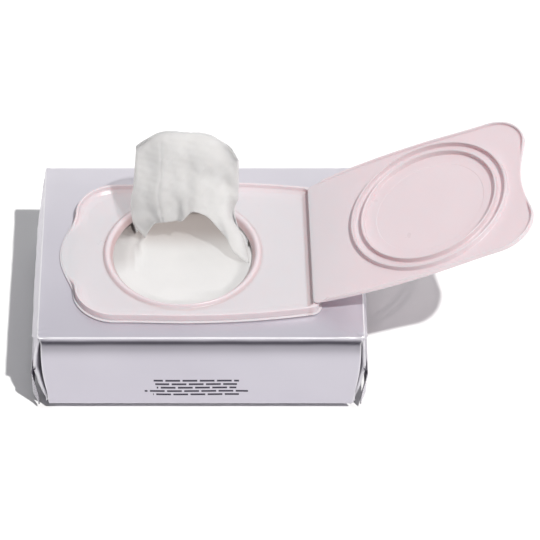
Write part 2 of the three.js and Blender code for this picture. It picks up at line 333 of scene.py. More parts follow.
def bars_mask(node, link):
    """1 on the printed bars of the front panel, 0 elsewhere."""
    def sum_of(operation, a, b=0):
        return math_node(node, link, operation, a, b)

    x, y, z = object_axes(node, link)
    total = 0.0
    for i, (centre, half) in enumerate(BARS):
        across = sum_of("ABSOLUTE", sum_of("SUBTRACT", x, centre))
        up = sum_of("ABSOLUTE", sum_of("SUBTRACT", z, BAR_LOW + i * BAR_STEP))
        along = sum_of("DIVIDE", sum_of("ADD", x, GAP_START + i * GAP_SHIFT), GAP_EVERY)
        solid = sum_of("GREATER_THAN", sum_of("FRACT", along), GAP_SHARE)
        in_length = sum_of("LESS_THAN", across, half)
        in_height = sum_of("LESS_THAN", up, BAR_HEIGHT / 2)
        inside = sum_of("MULTIPLY", in_length, in_height)
        total = sum_of("ADD", sum_of("MULTIPLY", inside, solid), total)
    return sum_of("MULTIPLY", total, sum_of("LESS_THAN", y, PRINT_BACK))


def mixed(node, link, factor, a, b):
    """Colour a where the factor is 0 and b where it is 1. Each is a socket or a colour."""
    made = node("ShaderNodeMix")
    made.data_type = "RGBA"
    link(factor, made.inputs[0])
    for socket, value in ((made.inputs[6], a), (made.inputs[7], b)):
        if isinstance(value, tuple):
            socket.default_value = (*value, 1)
        else:
            link(value, socket)
    return made.outputs[2]


def film_material():
    """Pearly lilac-grey packaging film: satin, slightly metallic, finely crumpled. It carries
    painted highlights along sharp creases and painted shade in its folds, by the mesh's own
    attributes, and painted light that makes it lighter towards the back."""
    material, shader, node, link = principled("pearl_film", Metallic=0.45, Roughness=0.34, IOR=1.5)
    broad = math_node(node, link, "MULTIPLY", object_noise(node, link, 18, 2), 0.4)
    # Painted light: the tint is lighter towards the back, over patches of random tone.
    painted_light_toward_back = math_node(node, link, "MULTIPLY", object_axes(node, link)[1], 5.0)
    shade = math_node(node, link, "ADD", math_node(node, link, "ADD", broad, painted_light_toward_back), 0.3)
    tint = ramp(node, link, shade, [(0.2, (0.575, 0.555, 0.62)), (0.8, (0.72, 0.70, 0.755))])
    # Painted shade: near black in the folds and in a band under the top edge, by the mesh's fold
    # attribute.
    tint = mixed(node, link, mesh_value(node, "fold"), tint, (0.02, 0.015, 0.035))
    # Painted highlight: near white along sharp creases, by the mesh's crease attribute.
    tint = mixed(node, link, mesh_value(node, "crease"), tint, (0.95, 0.94, 0.97))
    tint = mixed(node, link, bars_mask(node, link), tint, (0.045, 0.04, 0.06))
    link(tint, shader.inputs["Base Color"])
    uneven_roughness(node, link, shader, 60, 0.27, 0.42)
    fine = object_noise(node, link, 900, 2)
    soft = object_noise(node, link, 90, 3, (1, 1, 1.6))
    bump(node, link, shader, [(soft, 0.0006, 0.3), (fine, 0.00003, 0.3)])
    return material


def plastic_material(name, thin):
    """Pale pink moulded plastic with a soft gloss and a faintly uneven surface, with painted shade
    in its hollows. The lid is thin enough to let some light through."""
    material, shader, node, link = principled(
        name,
        Roughness=0.3,
        IOR=1.46,
        Subsurface_Weight=0.5,
        Subsurface_Scale=0.004,
    )
    shader.inputs["Subsurface Radius"].default_value = (1.0, 0.55, 0.55)
    patches = object_noise(node, link, 14, 2)
    tint = ramp(node, link, patches, [(0.3, (0.69, 0.612, 0.638)), (0.7, (0.72, 0.642, 0.668))])
    # Painted shade: a deeper pink where the mesh marks a hollow.
    tint = mixed(node, link, mesh_value(node, "painted_hollow_shade"), tint, (0.56, 0.40, 0.40))
    link(tint, shader.inputs["Base Color"])
    uneven_roughness(node, link, shader, 120, 0.24, 0.36)
    flow = object_noise(node, link, 35, 1)
    grain = object_noise(node, link, 1500, 2)
    bump(node, link, shader, [(flow, 0.0006, 0.1), (grain, 0.00001, 0.3)])
    if thin:
        let_light_through(material, node, link, (0.32, 0.30, 0.31))
    return material


def cloth_material(name, thin, shade):
    """White non-woven: matt, with short fibres lying mostly one way. It is greyer where the mesh
    carries painted shade, at the back of the stack, and a little darker on the back of the fold.
    shade is its base grey. A single thin sheet lets most light through, so its shadow is faint."""
    material, shader, node, link = principled(
        name,
        Roughness=0.85,
        IOR=1.4,
        Sheen_Weight=0.15,
        Sheen_Roughness=0.6,
        Subsurface_Weight=1.0 if thin else 0.1,
        Subsurface_Scale=0.006,
    )
    shader.inputs["Subsurface Radius"].default_value = (1.0, 0.95, 0.9)
    darker = (shade, shade * 0.995, shade * 0.99)
    lighter = (shade + 0.03, shade + 0.025, shade + 0.02)
    tint = ramp(node, link, object_noise(node, link, 45, 5), [(0.3, darker), (0.7, lighter)])
    # Painted shade at the back of the stack, and a darker tone on the back of the fold, read from
    # the mesh.
    tint = mixed(node, link, mesh_value(node, "painted_shade_and_darker_fold"), tint, (0.45, 0.41, 0.395))
    link(tint, shader.inputs["Base Color"])
    fibres = object_noise(node, link, 1100, 5, (1, 0.35, 0.35))
    felt = object_noise(node, link, 260, 4)
    bump(node, link, shader, [(felt, 0.0003, 0.3), (fibres, 0.0001, 0.4)])
    if thin:
        let_light_through(material, node, link, (0.925, 0.922, 0.92))
    return material


FILM = film_material()
PLASTIC = plastic_material("pink_plastic", False)
THIN_PLASTIC = plastic_material("pink_plastic_lid", True)
CLOTH = cloth_material("wipe_cloth", False, 0.69)
THIN_CLOTH = cloth_material("wipe_cloth_sheet", True, 0.60)


# ---- The dispenser's outlines ------------------------------------------------------------

# The directions about the opening's axis in which the outlines are sampled.
DIRECTIONS = np.linspace(0, 2 * math.pi, 840, endpoint=False)


def side_half_width(x):
    """Half the lid's width along its long sides."""
    t = np.clip((x - WIDEST_X) / (HINGE_X - WIDEST_X), 0, 1.2)
    hinge_side = MID_HALF - (MID_HALF - HINGE_HALF) * t ** 2.2
    s = np.clip((WIDEST_X - x) / (WIDEST_X - LOBE_X), 0, 1)
    lobe_side = MID_HALF - (MID_HALF - LOBE_HALF) * np.sin(s * math.pi / 2) ** 2
    return np.where(x > WIDEST_X, hinge_side, lobe_side)


def outline_radii(offset, hinge_end, corner, bulge):
    """Reach from the opening's axis, along DIRECTIONS, of the lid's outline moved out by
    offset. bulge is how far the free end stands out (the tab) or in (the notch)."""
    corner_x = hinge_end - corner
    corner_y = side_half_width(corner_x) + offset - corner
    a = np.linspace(0, math.pi / 2, 24)
    end_y = np.linspace(0, corner_y, 40)[:-1]
    side_x = np.linspace(corner_x, LOBE_X, 120)[1:]
    tip_y = np.linspace(LOBE_Y, 0, 60)[1:]
    lobe = (LOBE_X - TIP_X + offset, LOBE_RADIUS - 0.1 + offset)
    x = np.concatenate([
        np.full(len(end_y), hinge_end),
        corner_x + corner * np.cos(a),
        side_x,
        LOBE_X - lobe[0] * np.sin(a[1:]),
        TIP_X - offset - bulge * (1 - (tip_y / LOBE_Y) ** 2) ** 1.5,
    ])
    y = np.concatenate([
        end_y,
        corner_y + corner * np.sin(a),
        side_half_width(side_x) + offset,
        LOBE_Y + lobe[1] * np.cos(a[1:]),
        tip_y,
    ])
    angle = np.arctan2(y, x)
    reach = np.hypot(x, y)
    folded = np.where(DIRECTIONS > math.pi, 2 * math.pi - DIRECTIONS, DIRECTIONS)
    return np.interp(folded, angle, reach)


def dispenser_ring(radii, height):
    """A ring about the opening's axis. height is a number or a function of x and y."""
    x = radii * np.cos(DIRECTIONS)
    y = radii * np.sin(DIRECTIONS)
    z = height(x, y) if callable(height) else np.full(len(x), float(height))
    return np.stack([x, y, z], axis=1)


def placed(points):
    """From the dispenser's frame to the pack's."""
    return points @ TURN_MATRIX.T + DISPENSER


# ---- Dispenser base ------------------------------------------------------------------------

# Height of the tray's floor in the dispenser's frame.
FLOOR = 0.8


def wall_fade(x, y):
    """1 where the wall round the tray stands at full height, 0 across the finger tab."""
    return np.where(x > 0, 1.0, smooth(15, 28, np.abs(y)))


def wall_height(level):
    """Heights of a ring of the base that is at this level beside the tray. Across the tab
    it comes down to the floor, and there the edge droops a little."""
    def height(x, y):
        rise = (level - FLOOR) * wall_fade(x, y) if level > FLOOR else level - FLOOR
        droop = 0.25 * (1 - wall_fade(x, y)) * smooth(-50, -57, x)
        return FLOOR + rise - droop * (level >= FLOOR - 0.3)

    return height


def dispenser_base():
    # Offset from the lid's outline, hinge end, corner radius, height, rounding.
    edge = rounded([
        (2.9, 68.0, 6.0, 0.0, 0),
        (2.9, 68.0, 6.0, 0.55, 0.3),
        (1.9, 66.9, 5.0, 0.65, 0.45),
        (1.7, 66.8, 5.0, 4.6, 0.4),
        (0.6, 64.0, 3.5, 4.6, 0.35),
        (0.3, 63.5, 2.0, 2.6, 0.5),
        (-1.5, 61.2, 2.0, 1.1, 0.7),
        (-4.6, 60.4, 2.0, FLOOR, 0.6),
        (-5.0, 58.0, 3.0, FLOOR, 0),
    ])
    rings = []
    for offset, end, corner, level in edge:
        radii = outline_radii(offset, end, corner, TAB)
        rings.append(dispenser_ring(radii, wall_height(level)))
    # Radius, height, rounding of the collar round the opening. Its outer foot is drawn in
    # towards the front and back, where the tray is narrowest.
    collar = rounded([
        (40.9, FLOOR, 0),
        (39.8, FLOOR, 0.3),
        (38.5, 2.25, 0.7),
        (37.0, 2.4, 0.9),
        (35.2, 0.2, 1.0),
        (34.6, -1.2, 0.2),
        (35.5, -1.2, 0.2),
        (36.2, 0.0, 0),
    ])
    drawn_in = 1.3 * np.sin(DIRECTIONS) ** 6
    rings += [dispenser_ring(r - drawn_in * smooth(37, 39.6, r), z) for r, z in collar]
    points, faces = ring_surface(rings)
    piece = add_mesh("dispenser_base", placed(points), faces, PLASTIC)
    # Painted shade at the collar's foot, on its inner wall and on the bank at the hinge.
    x, y, z = points.T
    reach = np.hypot(x, y)
    outer_foot = np.exp(-(((reach - 39.3) / 0.8) ** 2)) * smooth(2.4, 1.6, z)
    inner_wall = smooth(37.2, 36, reach) * smooth(2.0, 0.8, z)
    hinge_bank = smooth(60.6, 61.4, x) * smooth(64, 63, x) * smooth(4.4, 3.6, z)
    painted_hollow_shade = np.maximum(0.5 * outer_foot, np.maximum(0.8 * inner_wall, 0.4 * hinge_bank))
    set_attribute(piece, "painted_hollow_shade", painted_hollow_shade)
    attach(piece, "pack")
    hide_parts("lid_base")
    return piece


# ---- Flip lid --------------------------------------------------------------------------------

# The shut lid's outer and inner faces, the crest of its ribs, the depth of the lip round its
# edge, and the reach of the snap bead on the ribs, to each side of the free end. MIDDLE is
# the inner face inside the ribs, which is a little thinner there.
LID_TOP, LID_UNDER = HINGE_Z, HINGE_Z - 0.9
MIDDLE = LID_UNDER + 0.12
RIB_CREST = LID_UNDER - 2.75
LIP = 1.4
BEAD_HALF_ANGLE = math.radians(27)


def lip_fade(x, y):
    """1 where the lid's edge has its shallow lip, 0 at the notch and beside the hinge."""
    clear_of_notch = np.where(x > 0, 1.0, smooth(15, 24, np.abs(y)))
    return clear_of_notch * (1 - smooth(HINGE_X - 9, HINGE_X - 5, x))


def opened(points):
    """The shut lid's points turned open about the hinge."""
    x, y, z = points[:, 0] - HINGE_X, points[:, 1], points[:, 2] - HINGE_Z
    c, s = math.cos(OPEN_ANGLE), math.sin(OPEN_ANGLE)
    return np.stack([x * c + z * s + HINGE_X, y, z * c - x * s + HINGE_Z], axis=1)


def flip_lid():
    off_tip = np.abs(DIRECTIONS - math.pi)
    bead = 0.45 * (1 - smooth(BEAD_HALF_ANGLE, BEAD_HALF_ANGLE * 1.05, off_tip))
    # Radius, height, share of the snap bead, rounding.
    ribs = rounded([
        (1.0, MIDDLE, 0, 0),
        (10.0, MIDDLE, 0, 0),
        (28.0, MIDDLE, 0, 0.1),
        (28.2, LID_UNDER, 0, 0.1),
        (34.45, LID_UNDER, 0, 0.5),
        (34.6, RIB_CREST, 0, 0.3),
        (35.5, RIB_CREST, 0, 0.3),
        (35.75, LID_UNDER, 0, 0.5),
        (39.75, LID_UNDER, 0, 0.5),
        (39.9, RIB_CREST + 1.2, 0, 0.1),
        (39.9, RIB_CREST + 0.7, 1, 0.2),
        (39.9, RIB_CREST, 0.2, 0.15),
        (40.8, RIB_CREST, 0, 0.3),
        (41.0, LID_UNDER, 0, 0.6),
        (41.8, LID_UNDER, 0, 0),
    ])
    rings = [dispenser_ring(radius - share * bead, z) for radius, z, share in ribs]
    # Offset from the outline, hinge end, share of the lip's depth, height, rounding.
    edge = rounded([
        (-2.6, HINGE_X - 2.9, 0.0, LID_UNDER, 0),
        (-1.15, HINGE_X - 1.4, 0.0, LID_UNDER, 0.4),
        (-1.0, HINGE_X - 1.2, 1.0, LID_UNDER, 0.25),
        (-0.15, HINGE_X - 0.3, 1.0, LID_UNDER, 0.3),
        (0.0, HINGE_X - 0.2, 0.0, LID_TOP - 0.3, 0.2),
        (-0.1, HINGE_X - 0.3, 0.0, LID_TOP, 0.25),
        (-1.0, HINGE_X - 1.2, 0.0, LID_TOP, 0),
    ])
    for offset, end, share, z in edge:
        radii = outline_radii(offset, end, 2.5, NOTCH)
        rings.append(dispenser_ring(radii, lambda x, y: z - share * LIP * lip_fade(x, y)))
    for offset in (-8, -20):
        radii = outline_radii(offset, HINGE_X + offset, 2.5, NOTCH)
        rings.append(dispenser_ring(radii, LID_TOP))
    ends = [(0, 0, MIDDLE), (0, 0, LID_TOP)]
    points, faces = ring_surface(rings, ends)
    piece = add_mesh("dispenser_lid", placed(opened(points)), faces, THIN_PLASTIC)
    # A little painted shade on the flanks of the ribs.
    reach = np.hypot(points[:, 0], points[:, 1])
    flank = np.zeros(len(points), bool)
    for radius, near in ((34.5, 0.5), (35.75, 0.3), (39.8, 0.25)):
        flank |= np.abs(reach - radius) < near
    set_attribute(piece, "painted_hollow_shade", 0.15 * flank * (points[:, 2] < LID_UNDER + 0.05))
    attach(piece, "lid")
    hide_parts("flip_lid")
    return piece


# The hinge web's thickness, and how far it stops short of the lid's edge at each side.
HINGE_THICKNESS, HINGE_END_GAP = 0.18, 3.5


def living_hinge():
    """The thin web that joins the lid to the base, folded over the hinge line."""
    half = HINGE_HALF - HINGE_END_GAP
    # Distance along X and height from the hinge line, from the base to the lid, rounding.
    line = np.array(rounded([
        (1.6, -0.16, 0),
        (0.5, -0.12, 0.3),
        (-0.15, 0.06, 0.25),
        (0.45, 0.28, 0.3),
        (1.5, 0.74, 0),
    ], 4))
    run = np.gradient(line, axis=0)
    normal = np.stack([-run[:, 1], run[:, 0]], axis=1)
    normal /= np.linalg.norm(normal, axis=1)[:, None]
    offset = normal * HINGE_THICKNESS / 2
    section = np.concatenate([line + offset, (line - offset)[::-1]])
    rings = []
    for y in np.linspace(-half, half, 60):
        ring = np.zeros((len(section), 3))
        ring[:, 0] = HINGE_X + section[:, 0]
        ring[:, 1] = y
        ring[:, 2] = HINGE_Z + section[:, 1]
        rings.append(ring)
    points, faces = capped_bar(rings)
    piece = add_mesh("living_hinge", placed(points), faces, PLASTIC)
    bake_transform(piece)
    return piece


# ---- Film pouch --------------------------------------------------------------------------

# How much shorter the front and back panels are at the underside, at the right and left.
FRONT_TAPER = {1: 3.8, -1: 3.4}

# How far the film's outer and inner faces lie below the top.
FILM_DROP, INNER_DROP = 0.2, 0.7

# The crimped end seals: height where they leave the end panels, thickness, rib spacing.
FIN_LEVEL, FIN_THICKNESS, FIN_RIB_EVERY = 27.0, 0.4, 1.7

# How far the front and back panels stand in from HALF_DEPTH at each height: turned under at
# the bottom, a crisp fold, a full belly, and a hollow under the sharp top edge.
PANEL_INSET = [
    (0.0, 7.0),
    (2.4, 2.9),
    (3.9, 1.2),
    (4.4, 0.55),
    (5.2, 0.42),
    (12.0, 0.5),
    (22.0, 1.2),
    (32.0, 2.1),
    (38.0, 2.5),
    (42.0, 2.3),
    (45.0, 1.75),
    (48.0, 0.95),
    (50.2, 0.25),
    (51.2, -0.05),
]

# Where the end panels reach at each height, at the left (-1) and the right (1). The fold
# that holds the seal stands furthest out.
END_REACH = {
    -1: [(0, 79.0), (5, 77.7), (12, 79.3), (19, 81.0), (25, 82.0), (27, 82.6), (34, 82.9),
         (42, 81.7), (50, 80.0), (53, 79.8)],
    1: [(0, 77.6), (5, 76.6), (12, 78.0), (19, 79.6), (25, 80.6), (27, 81.1), (34, 81.3),
        (42, 80.9), (50, 80.0), (53, 79.8)],
}


def side_samples(count):
    """Places along a side from -1 to 1, closer together near its ends."""
    t = np.linspace(-1, 1, count)
    return np.sin(t * math.pi / 2) * 0.75 + t * 0.25


FRONT_SAMPLES = side_samples(121)
END_SAMPLES = side_samples(85)
CORNER_SAMPLES = np.linspace(0, 1, 15)[1:-1]


def groove_depth(z):
    """How far open the groove down each corner is at height z, from 0 to 1."""
    return smooth(51, 46.5, z) * smooth(1.5, 5, z)


def pouch_ring(z, front_inset, end_inset, corner):
    """One turn round the pack, from the front left corner: front, right, back, left. A
    groove runs down each corner, where the gusset folds in behind the end flap."""
    groove = float(groove_depth(z))
    half_y = HALF_DEPTH - front_inset
    flap_y = half_y - 0.8 * groove - corner
    below = (50 - min(z, 50)) / 45.5
    panel = {}
    for side in (1, -1):
        panel[side] = HALF_WIDTH - 0.2 - FRONT_TAPER[side] * below - end_inset - corner
    sides = []
    for side in (1, -1):
        span = (-side * panel[-side], side * panel[side])
        front = np.zeros((len(FRONT_SAMPLES), 3))
        front[:, 0] = np.interp(FRONT_SAMPLES, (-1, 1), span)
        front[:, 1] = -half_y * side
        reach = float(curve(END_REACH[side], z)) - end_inset
        middle = 1 - END_SAMPLES ** 2
        end = np.zeros((len(END_SAMPLES), 3))
        end[:, 1] = flap_y * END_SAMPLES * side
        end[:, 0] = (reach + 0.6 * middle * float(smooth(52, 34, z))) * side
        sides += [front, end]
    ring = []
    for i, points in enumerate(sides):
        after = sides[(i + 1) % 4]
        a, b = points[-1], after[0]
        signs = np.sign(np.array([a[0] + b[0], a[1] + b[1], 0]))
        outer = signs * np.maximum(np.abs(a), np.abs(b))
        inner = signs * np.array([panel[int(signs[0])] - 11, half_y - 13, 0])
        control = outer + (inner - outer) * groove
        t = CORNER_SAMPLES[:, None]
        ring += [points, (1 - t) ** 2 * a + 2 * t * (1 - t) * control + t * t * b]
    ring = np.concatenate(ring)
    ring[:, 2] = z
    return ring


def turn_shares():
    """For each place round a ring: how close it is to a panel's end edge, how deep it is in
    a corner, and whether it is on the front or back panel."""
    edge, deep, front = [], [], []
    panels = ((FRONT_SAMPLES, HALF_WIDTH, 1), (END_SAMPLES, HALF_DEPTH, 0))
    for _ in range(2):
        for samples, half, is_front in panels:
            edge.append(np.exp(-(((1 - np.abs(samples)) * half / 0.45) ** 2)))
            deep.append(np.zeros(len(samples)))
            front.append(np.full(len(samples), is_front))
            edge.append(np.zeros(len(CORNER_SAMPLES)))
            deep.append(np.sin(CORNER_SAMPLES * math.pi) ** 0.5)
            front.append(np.zeros(len(CORNER_SAMPLES)))
    return np.concatenate(edge), np.concatenate(deep), np.concatenate(front)


def crumple(points):
    """Small creases in the film, strongest at the pinched corners, along the ends and at the
    right of the top."""
    x, y, z = points.T
    to_corner = np.hypot(HALF_WIDTH - np.abs(x), HALF_DEPTH - np.abs(y))
    pinch = np.exp(-((to_corner / 7) ** 2)) * smooth(38, 50, z)
    ends = smooth(HALF_WIDTH - 5, HALF_WIDTH, np.abs(x)) * smooth(0, 8, z)
    everywhere = smooth(1, 8, z) * (1 - 0.6 * smooth(51, 52, z))
    right = smooth(60, 72, x) * smooth(51, 52, z)
    fine = 1 - 2 * np.abs(waves(points, 6, 3))
    broad = 1 - 1.6 * np.abs(waves(points * (1, 1, 0.6), 19, 4))
    coarse = waves(points, 26, 5)
    front_to_back = 1 - 2 * np.abs(waves(points * (1, 0.25, 1), 9, 8))
    move = 0.3 * pinch * fine + 0.22 * ends * broad
    return move + 0.14 * coarse * everywhere + 0.3 * right * front_to_back


def flap_folds(points):
    """The end flap lies over the gusset: a step along the two diagonals from the top
    corners to the seal, and the same again below it."""
    x, y, z = points.T
    above = z > FIN_LEVEL
    rise = np.where(above, (z - FIN_LEVEL) / (TOP - FIN_LEVEL), (FIN_LEVEL - z) / FIN_LEVEL)
    fold = 34 + 25 * np.clip(rise, 0, 1)
    outside = smooth(-0.5, 0.5, np.abs(y) - fold)
    on_end = smooth(HALF_WIDTH - 4.4, HALF_WIDTH - 2.4, np.abs(x))
    on_end = on_end * smooth(3, 8, z) * smooth(51, 46, z)
    ridge = np.exp(-(((np.abs(y) - fold) / 0.9) ** 2)) * 0.4
    return on_end * (ridge - 0.9 * outside)


# Levels of the rings up the walls, closer together at the lower crease and the top edge.
LOWER_CREASE = 4.5
WALL_LEVELS = np.concatenate([
    np.linspace(0.15, 3.6, 7),
    [3.9, 4.15, 4.4, 4.7, 5.2, 6.0],
    np.linspace(6, 46, 40)[1:],
    np.linspace(46, 51.2, 12)[1:],
])

# Rounding of the pack's corners, and how far its ends stand in, at each height.
CORNER_ROUNDING = [(0, 4), (4.5, 0.9), (9, 0.4), (47, 0.4), (50, 0.8), (52, 1.5)]
END_INSET = [(0, 8), (1.2, 3.6), (4.5, 0.3), (8, 0), (52, 0)]

# The creased edge round the top: height above the top panel, inset, and how much painted highlight
# lies along the crease there.
TOP_EDGE = [
    (-0.6, -0.08, 0),
    (-0.35, -0.1, 0.1),
    (-0.14, -0.07, 0.9),
    (0.06, 0.1, 1),
    (0.15, 0.35, 0.8),
    (0.15, 0.6, 0.2),
    (0.08, 1.0, 0.05),
    (0, 1.8, 0),
    (0, 3.2, 0),
]


def outer_rings():
    """The film's outside before it is crumpled: rings from the middle of the underside, up the
    walls and across the top to the hole, and how much painted highlight each one carries along its
    crease."""
    rings, crease_highlight_marks = [], []
    for scale in (0.35, 0.7, 0.93):
        ring = pouch_ring(0.0, 7.0, 8.0, 4.0)
        ring[:, :2] *= scale
        rings.append(ring)
        crease_highlight_marks.append(0)
    for z in WALL_LEVELS:
        insets = (float(curve(knots, z)) for knots in (PANEL_INSET, END_INSET, CORNER_ROUNDING))
        rings.append(pouch_ring(z, *insets))
        # A painted highlight along the crisp fold at the bottom of the walls.
        crease_highlight_marks.append(0.5 * math.exp(-(((z - LOWER_CREASE) / 0.25) ** 2)))
    for rise, inset, crease_highlight in TOP_EDGE:
        rings.append(pouch_ring(TOP + rise - FILM_DROP, inset, inset, 1.6))
        crease_highlight_marks.append(crease_highlight)
    last = rings[-1]
    centre = DISPENSER[:2]
    angle = np.arctan2(last[:, 1] - centre[1], last[:, 0] - centre[0])
    hole = last.copy()
    hole[:, 0] = centre[0] + FILM_HOLE * np.cos(angle)
    hole[:, 1] = centre[1] + FILM_HOLE * np.sin(angle)
    shares = [*np.linspace(0, 0.5, 13)[1:] ** 1.2, *np.linspace(0.5, 1, 5)[1:]]
    for share in shares:
        ring = last + (hole - last) * share
        ring[:, 2] = TOP - FILM_DROP
        rings.append(ring)
        crease_highlight_marks.append(0)
    return np.stack(rings), np.array(crease_highlight_marks)[:, None]


def inner_rings(hole):
    """Rings down the film's inside, from the hole in its top to the underside."""
    first = hole.copy()
    first[:, 2] = TOP - INNER_DROP
    rings = [first]
    for level in (TOP - INNER_DROP, 49, 46, 42, 38, 26, 12, 6):
        inset = float(curve(PANEL_INSET, level)) + 0.7
        rings.append(pouch_ring(level, inset, 1.0, 1.6))
    rings.append(pouch_ring(0.9, 9.0, 10.0, 4.0))
    return rings


def crumpled(points):
    """The film's points moved into place: crumpled, but flat and a little lower under the
    dispenser, with the flaps of the ends folded and the back of the top drawn up."""
    x, y, z = points.T
    centre = DISPENSER[:2]
    on_end = smooth(HALF_WIDTH - 4.5, HALF_WIDTH - 2, np.abs(x)) * (np.abs(y) < HALF_DEPTH - 2.5)
    on_top = smooth(51.4, 52, z)
    normal = np.stack([
        np.sign(x) * on_end * (1 - on_top),
        np.sign(y) * (1 - on_end) * (1 - on_top),
        on_top,
    ], axis=1)
    past_x = np.maximum(np.abs(x - centre[0] - 4) - 58, 0)
    past_y = np.maximum(np.abs(y - centre[1]) - 44, 0)
    under_base = 1 - smooth(0, 10, np.hypot(past_x, past_y))
    move = crumple(points)
    move = np.where(on_top > 0.5, move * (1 - under_base) - 0.15 * under_base, move)
    shaped = points + normal * move[:, None]
    shaped[:, 0] += np.sign(shaped[:, 0]) * flap_folds(shaped)
    drawn_up = smooth(48, HALF_DEPTH, shaped[:, 1]) * smooth(30, 50, shaped[:, 2])
    shaped[:, 1] += 1.0 * drawn_up
    shaped[:, 2] += 0.9 * drawn_up
    shaped[:, 2] = np.maximum(shaped[:, 2], 0)
    return shaped


def painted_highlight_and_shade(levels, crease_highlight_marks):
    """Painted highlight along sharp creases and painted shade in the folds, at each level and
    place. Under the top's front and back edges the panels are hollow, and carry a band of painted
    shade."""
    near_edge, deep, front = turn_shares()
    upright = (smooth(2, 5, levels) * smooth(51.6, 50.5, levels))[:, None]
    across = crease_highlight_marks * np.maximum(front, crease_highlight_marks > 0.29)
    painted_crease_highlight = np.maximum(across, 0.75 * near_edge * upright)
    painted_shade_band = np.exp(-(((levels - 47.8) / 2.6) ** 2)) + 0.45 * np.exp(-(((levels - 43) / 5) ** 2))
    painted_shade_band = painted_shade_band * smooth(51.5, 50.5, levels)
    painted_fold_shade = np.maximum(deep * groove_depth(levels)[:, None], 0.92 * front * painted_shade_band[:, None])
    return painted_crease_highlight.ravel(), painted_fold_shade.ravel()


def film_pouch():
    outside, crease_highlight_marks = outer_rings()
    hole = outside[-1]
    shaped = crumpled(outside.reshape(-1, 3)).reshape(outside.shape)
    points, faces = ring_surface([*shaped, *inner_rings(hole)], [(0, 0, 0), (0, 0, 0.9)])
    painted_crease_highlight, painted_fold_shade = np.zeros((2, len(points)))
    on_outside = slice(shaped.shape[0] * shaped.shape[1])
    painted_crease_highlight[on_outside], painted_fold_shade[on_outside] = painted_highlight_and_shade(outside[:, 0, 2], crease_highlight_marks)
    for side in (1, -1):
        fin_points, fin_faces, crests = end_fin(side)
        start = len(points)
        points = np.concatenate([points, fin_points])
        # Painted highlight on the crests of the seal's ribs and painted shade between them,
        # stronger towards its curled ends.
        curled = 0.3 + 0.6 * smooth(HALF_DEPTH - 10, HALF_DEPTH - 6, np.abs(fin_points[:, 1]))
        painted_crease_highlight = np.concatenate([painted_crease_highlight, 0.7 * curled * crests])
        painted_fold_shade = np.concatenate([painted_fold_shade, curled * (1 - crests)])
        faces += [tuple(start + v for v in face) for face in fin_faces]
    piece = add_mesh("film_skin", points, faces, FILM)
    set_attribute(piece, "crease", painted_crease_highlight)
    set_attribute(piece, "fold", painted_fold_shade)
    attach(piece, "pack")
    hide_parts("film_pouch")
    return piece


def end_fin(side):
    """The crimped seal across an end: it stands off the panel at mid height and hangs nearly
    to the floor, with small ribs along it and its two ends curled in. Also how close each
    point is to the crest of a rib."""
    reach = float(curve(END_REACH[side], FIN_LEVEL)) + 0.25
    spine = np.array(rounded([
        (reach - 0.9, FIN_LEVEL + 1.2, 0),
        (reach + 0.75, FIN_LEVEL + 0.6, 1.2),
        (reach + 0.6, 4.2, 0),
    ], 6))
    steps = np.concatenate([[0], np.cumsum(np.hypot(*np.diff(spine, axis=0).T))])
    along = np.linspace(0, steps[-1], 100)
    x = np.interp(along, steps, spine[:, 0])
    z = np.interp(along, steps, spine[:, 1])
    rib = np.abs(((along / FIN_RIB_EVERY) % 1) * 2 - 1) * smooth(2.5, 4.5, along)
    x = x + 0.45 * rib
    crest = smooth(0.35, 0.65, rib)
    section_x = np.concatenate([x, (x - FIN_THICKNESS)[::-1]])
    section_z = np.concatenate([z, z[::-1]])
    crests = np.concatenate([crest, crest[::-1]])
    half = HALF_DEPTH - 1.2
    rings = []
    stations = side_samples(91) * half
    for y in stations:
        hang = smooth(FIN_LEVEL, 7, section_z)
        wave = 0.9 * math.sin(y / 15.5 + side) + 0.5 * math.sin(y / 6.1 + 2 * side)
        tip = smooth(half - 7, half, abs(y))
        ring = np.zeros((len(section_x), 3))
        ring[:, 0] = section_x + hang * (0.35 * wave * (1 - tip) - 2.6 * tip)
        ring[:, 1] = y
        ring[:, 2] = section_z - hang * (0.4 * math.sin(y / 9 + 1) + 1.6 * tip - 0.8)
        rings.append(ring)
    points, faces = capped_bar(rings)
    if side < 0:
        points = points * np.array([-1, -1, 1])
    return points, [face[::-1] for face in faces], np.tile(crests, len(stations))


# ---- Wipes in the pack ---------------------------------------------------------------------

# The edge of a fold of cloth that lies over the left of the opening: its x at each y,
# from the opening's axis.
FOLD_EDGE = [(-12, -44), (-5.4, -33.7), (-1.2, -26.3), (7.4, -21.3), (14.6, -19.7), (34, -17)]


def top_relief(points):
    """Height of the top layer's soft folds above the stack, only where the opening shows
    them. Near the rim, at the front and towards the hinge, it swells up against the film."""
    x, y = points[:, 0] - DISPENSER[0], points[:, 1] - DISPENSER[1]
    out = np.hypot(x, y)
    past = x - curve(FOLD_EDGE, y)
    fold = smooth(0.4, -0.4, past) * (1.3 + 0.2 * np.maximum(past, -13))
    fold = fold + 0.5 * np.exp(-((past / 1.0) ** 2))
    rumple = 0.65 * waves(points[:, :2], 9, 11) * smooth(2, -4, past)
    sag = -0.6 * smooth(30, 10, np.hypot(x - 4, y + 6))
    soft = 0.14 * waves(points[:, :2], 24, 12)
    swell = 3.2 * smooth(27, 36, out) * smooth(14, 4, y) * smooth(-24, -12, x)
    return smooth(46, 38, out) * (fold + rumple + sag + soft) + smooth(52, 40, out) * swell


